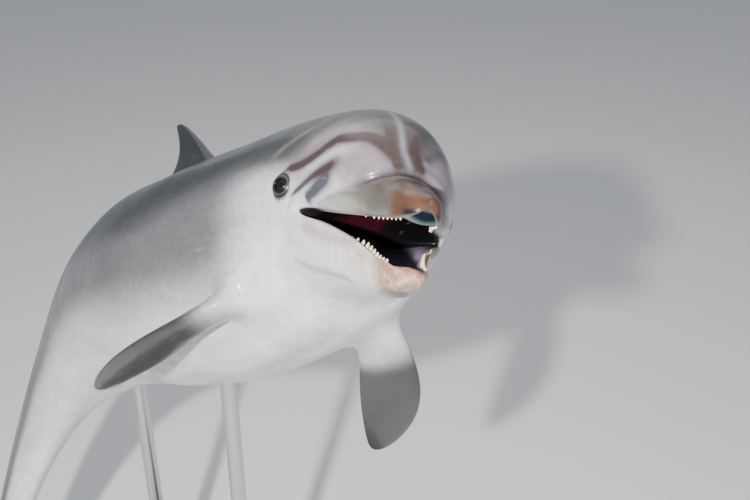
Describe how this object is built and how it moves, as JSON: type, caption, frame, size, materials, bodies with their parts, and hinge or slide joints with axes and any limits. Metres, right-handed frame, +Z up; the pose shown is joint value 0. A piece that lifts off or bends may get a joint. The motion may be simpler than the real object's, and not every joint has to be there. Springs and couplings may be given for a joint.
{
  "type": "bottlenose dolphin model",
  "caption": "Life-size still model of a bottlenose dolphin that rises with its mouth open and its tail curled under, held by steel rods on a flat base plate",
  "frame": {"origin": "Centre of the base plate's underside, on the floor", "axes": "+Z up; the trunk heads towards -Y; the animal's left is towards +X, its right towards -X"},
  "size_m": [1.0776, 1.4772, 1.9143],
  "materials": {
    "skin": "wet smooth skin, grey above and pale below",
    "mouth": "wet purple-grey mouth lining and tongue",
    "teeth": "cream, slightly worn",
    "eye": "glossy, nearly black",
    "stand_paint": "satin dark grey paint",
    "stand_steel": "brushed"
  },
  "bodies": {
    "root": {"rostrum": "skin", "melon": "skin", "lower_jaw": "skin", "head": "skin", "neck": "skin", "thorax": "skin", "abdomen": "skin", "loin": "skin", "tail_stock_front": "skin", "tail_stock": "skin", "dorsal_fin": "skin", "left_flipper": "skin", "right_flipper": "skin", "left_fluke": "skin", "right_fluke": "skin", "left_eye": "eye", "right_eye": "eye", "tongue": "mouth", "stand_base": "stand_paint", "stand_front_socket": "stand_paint", "stand_rear_socket": "stand_paint", "stand_front_rod": "stand_steel", "stand_rear_rod": "stand_steel"}
  },
  "joints": []
}
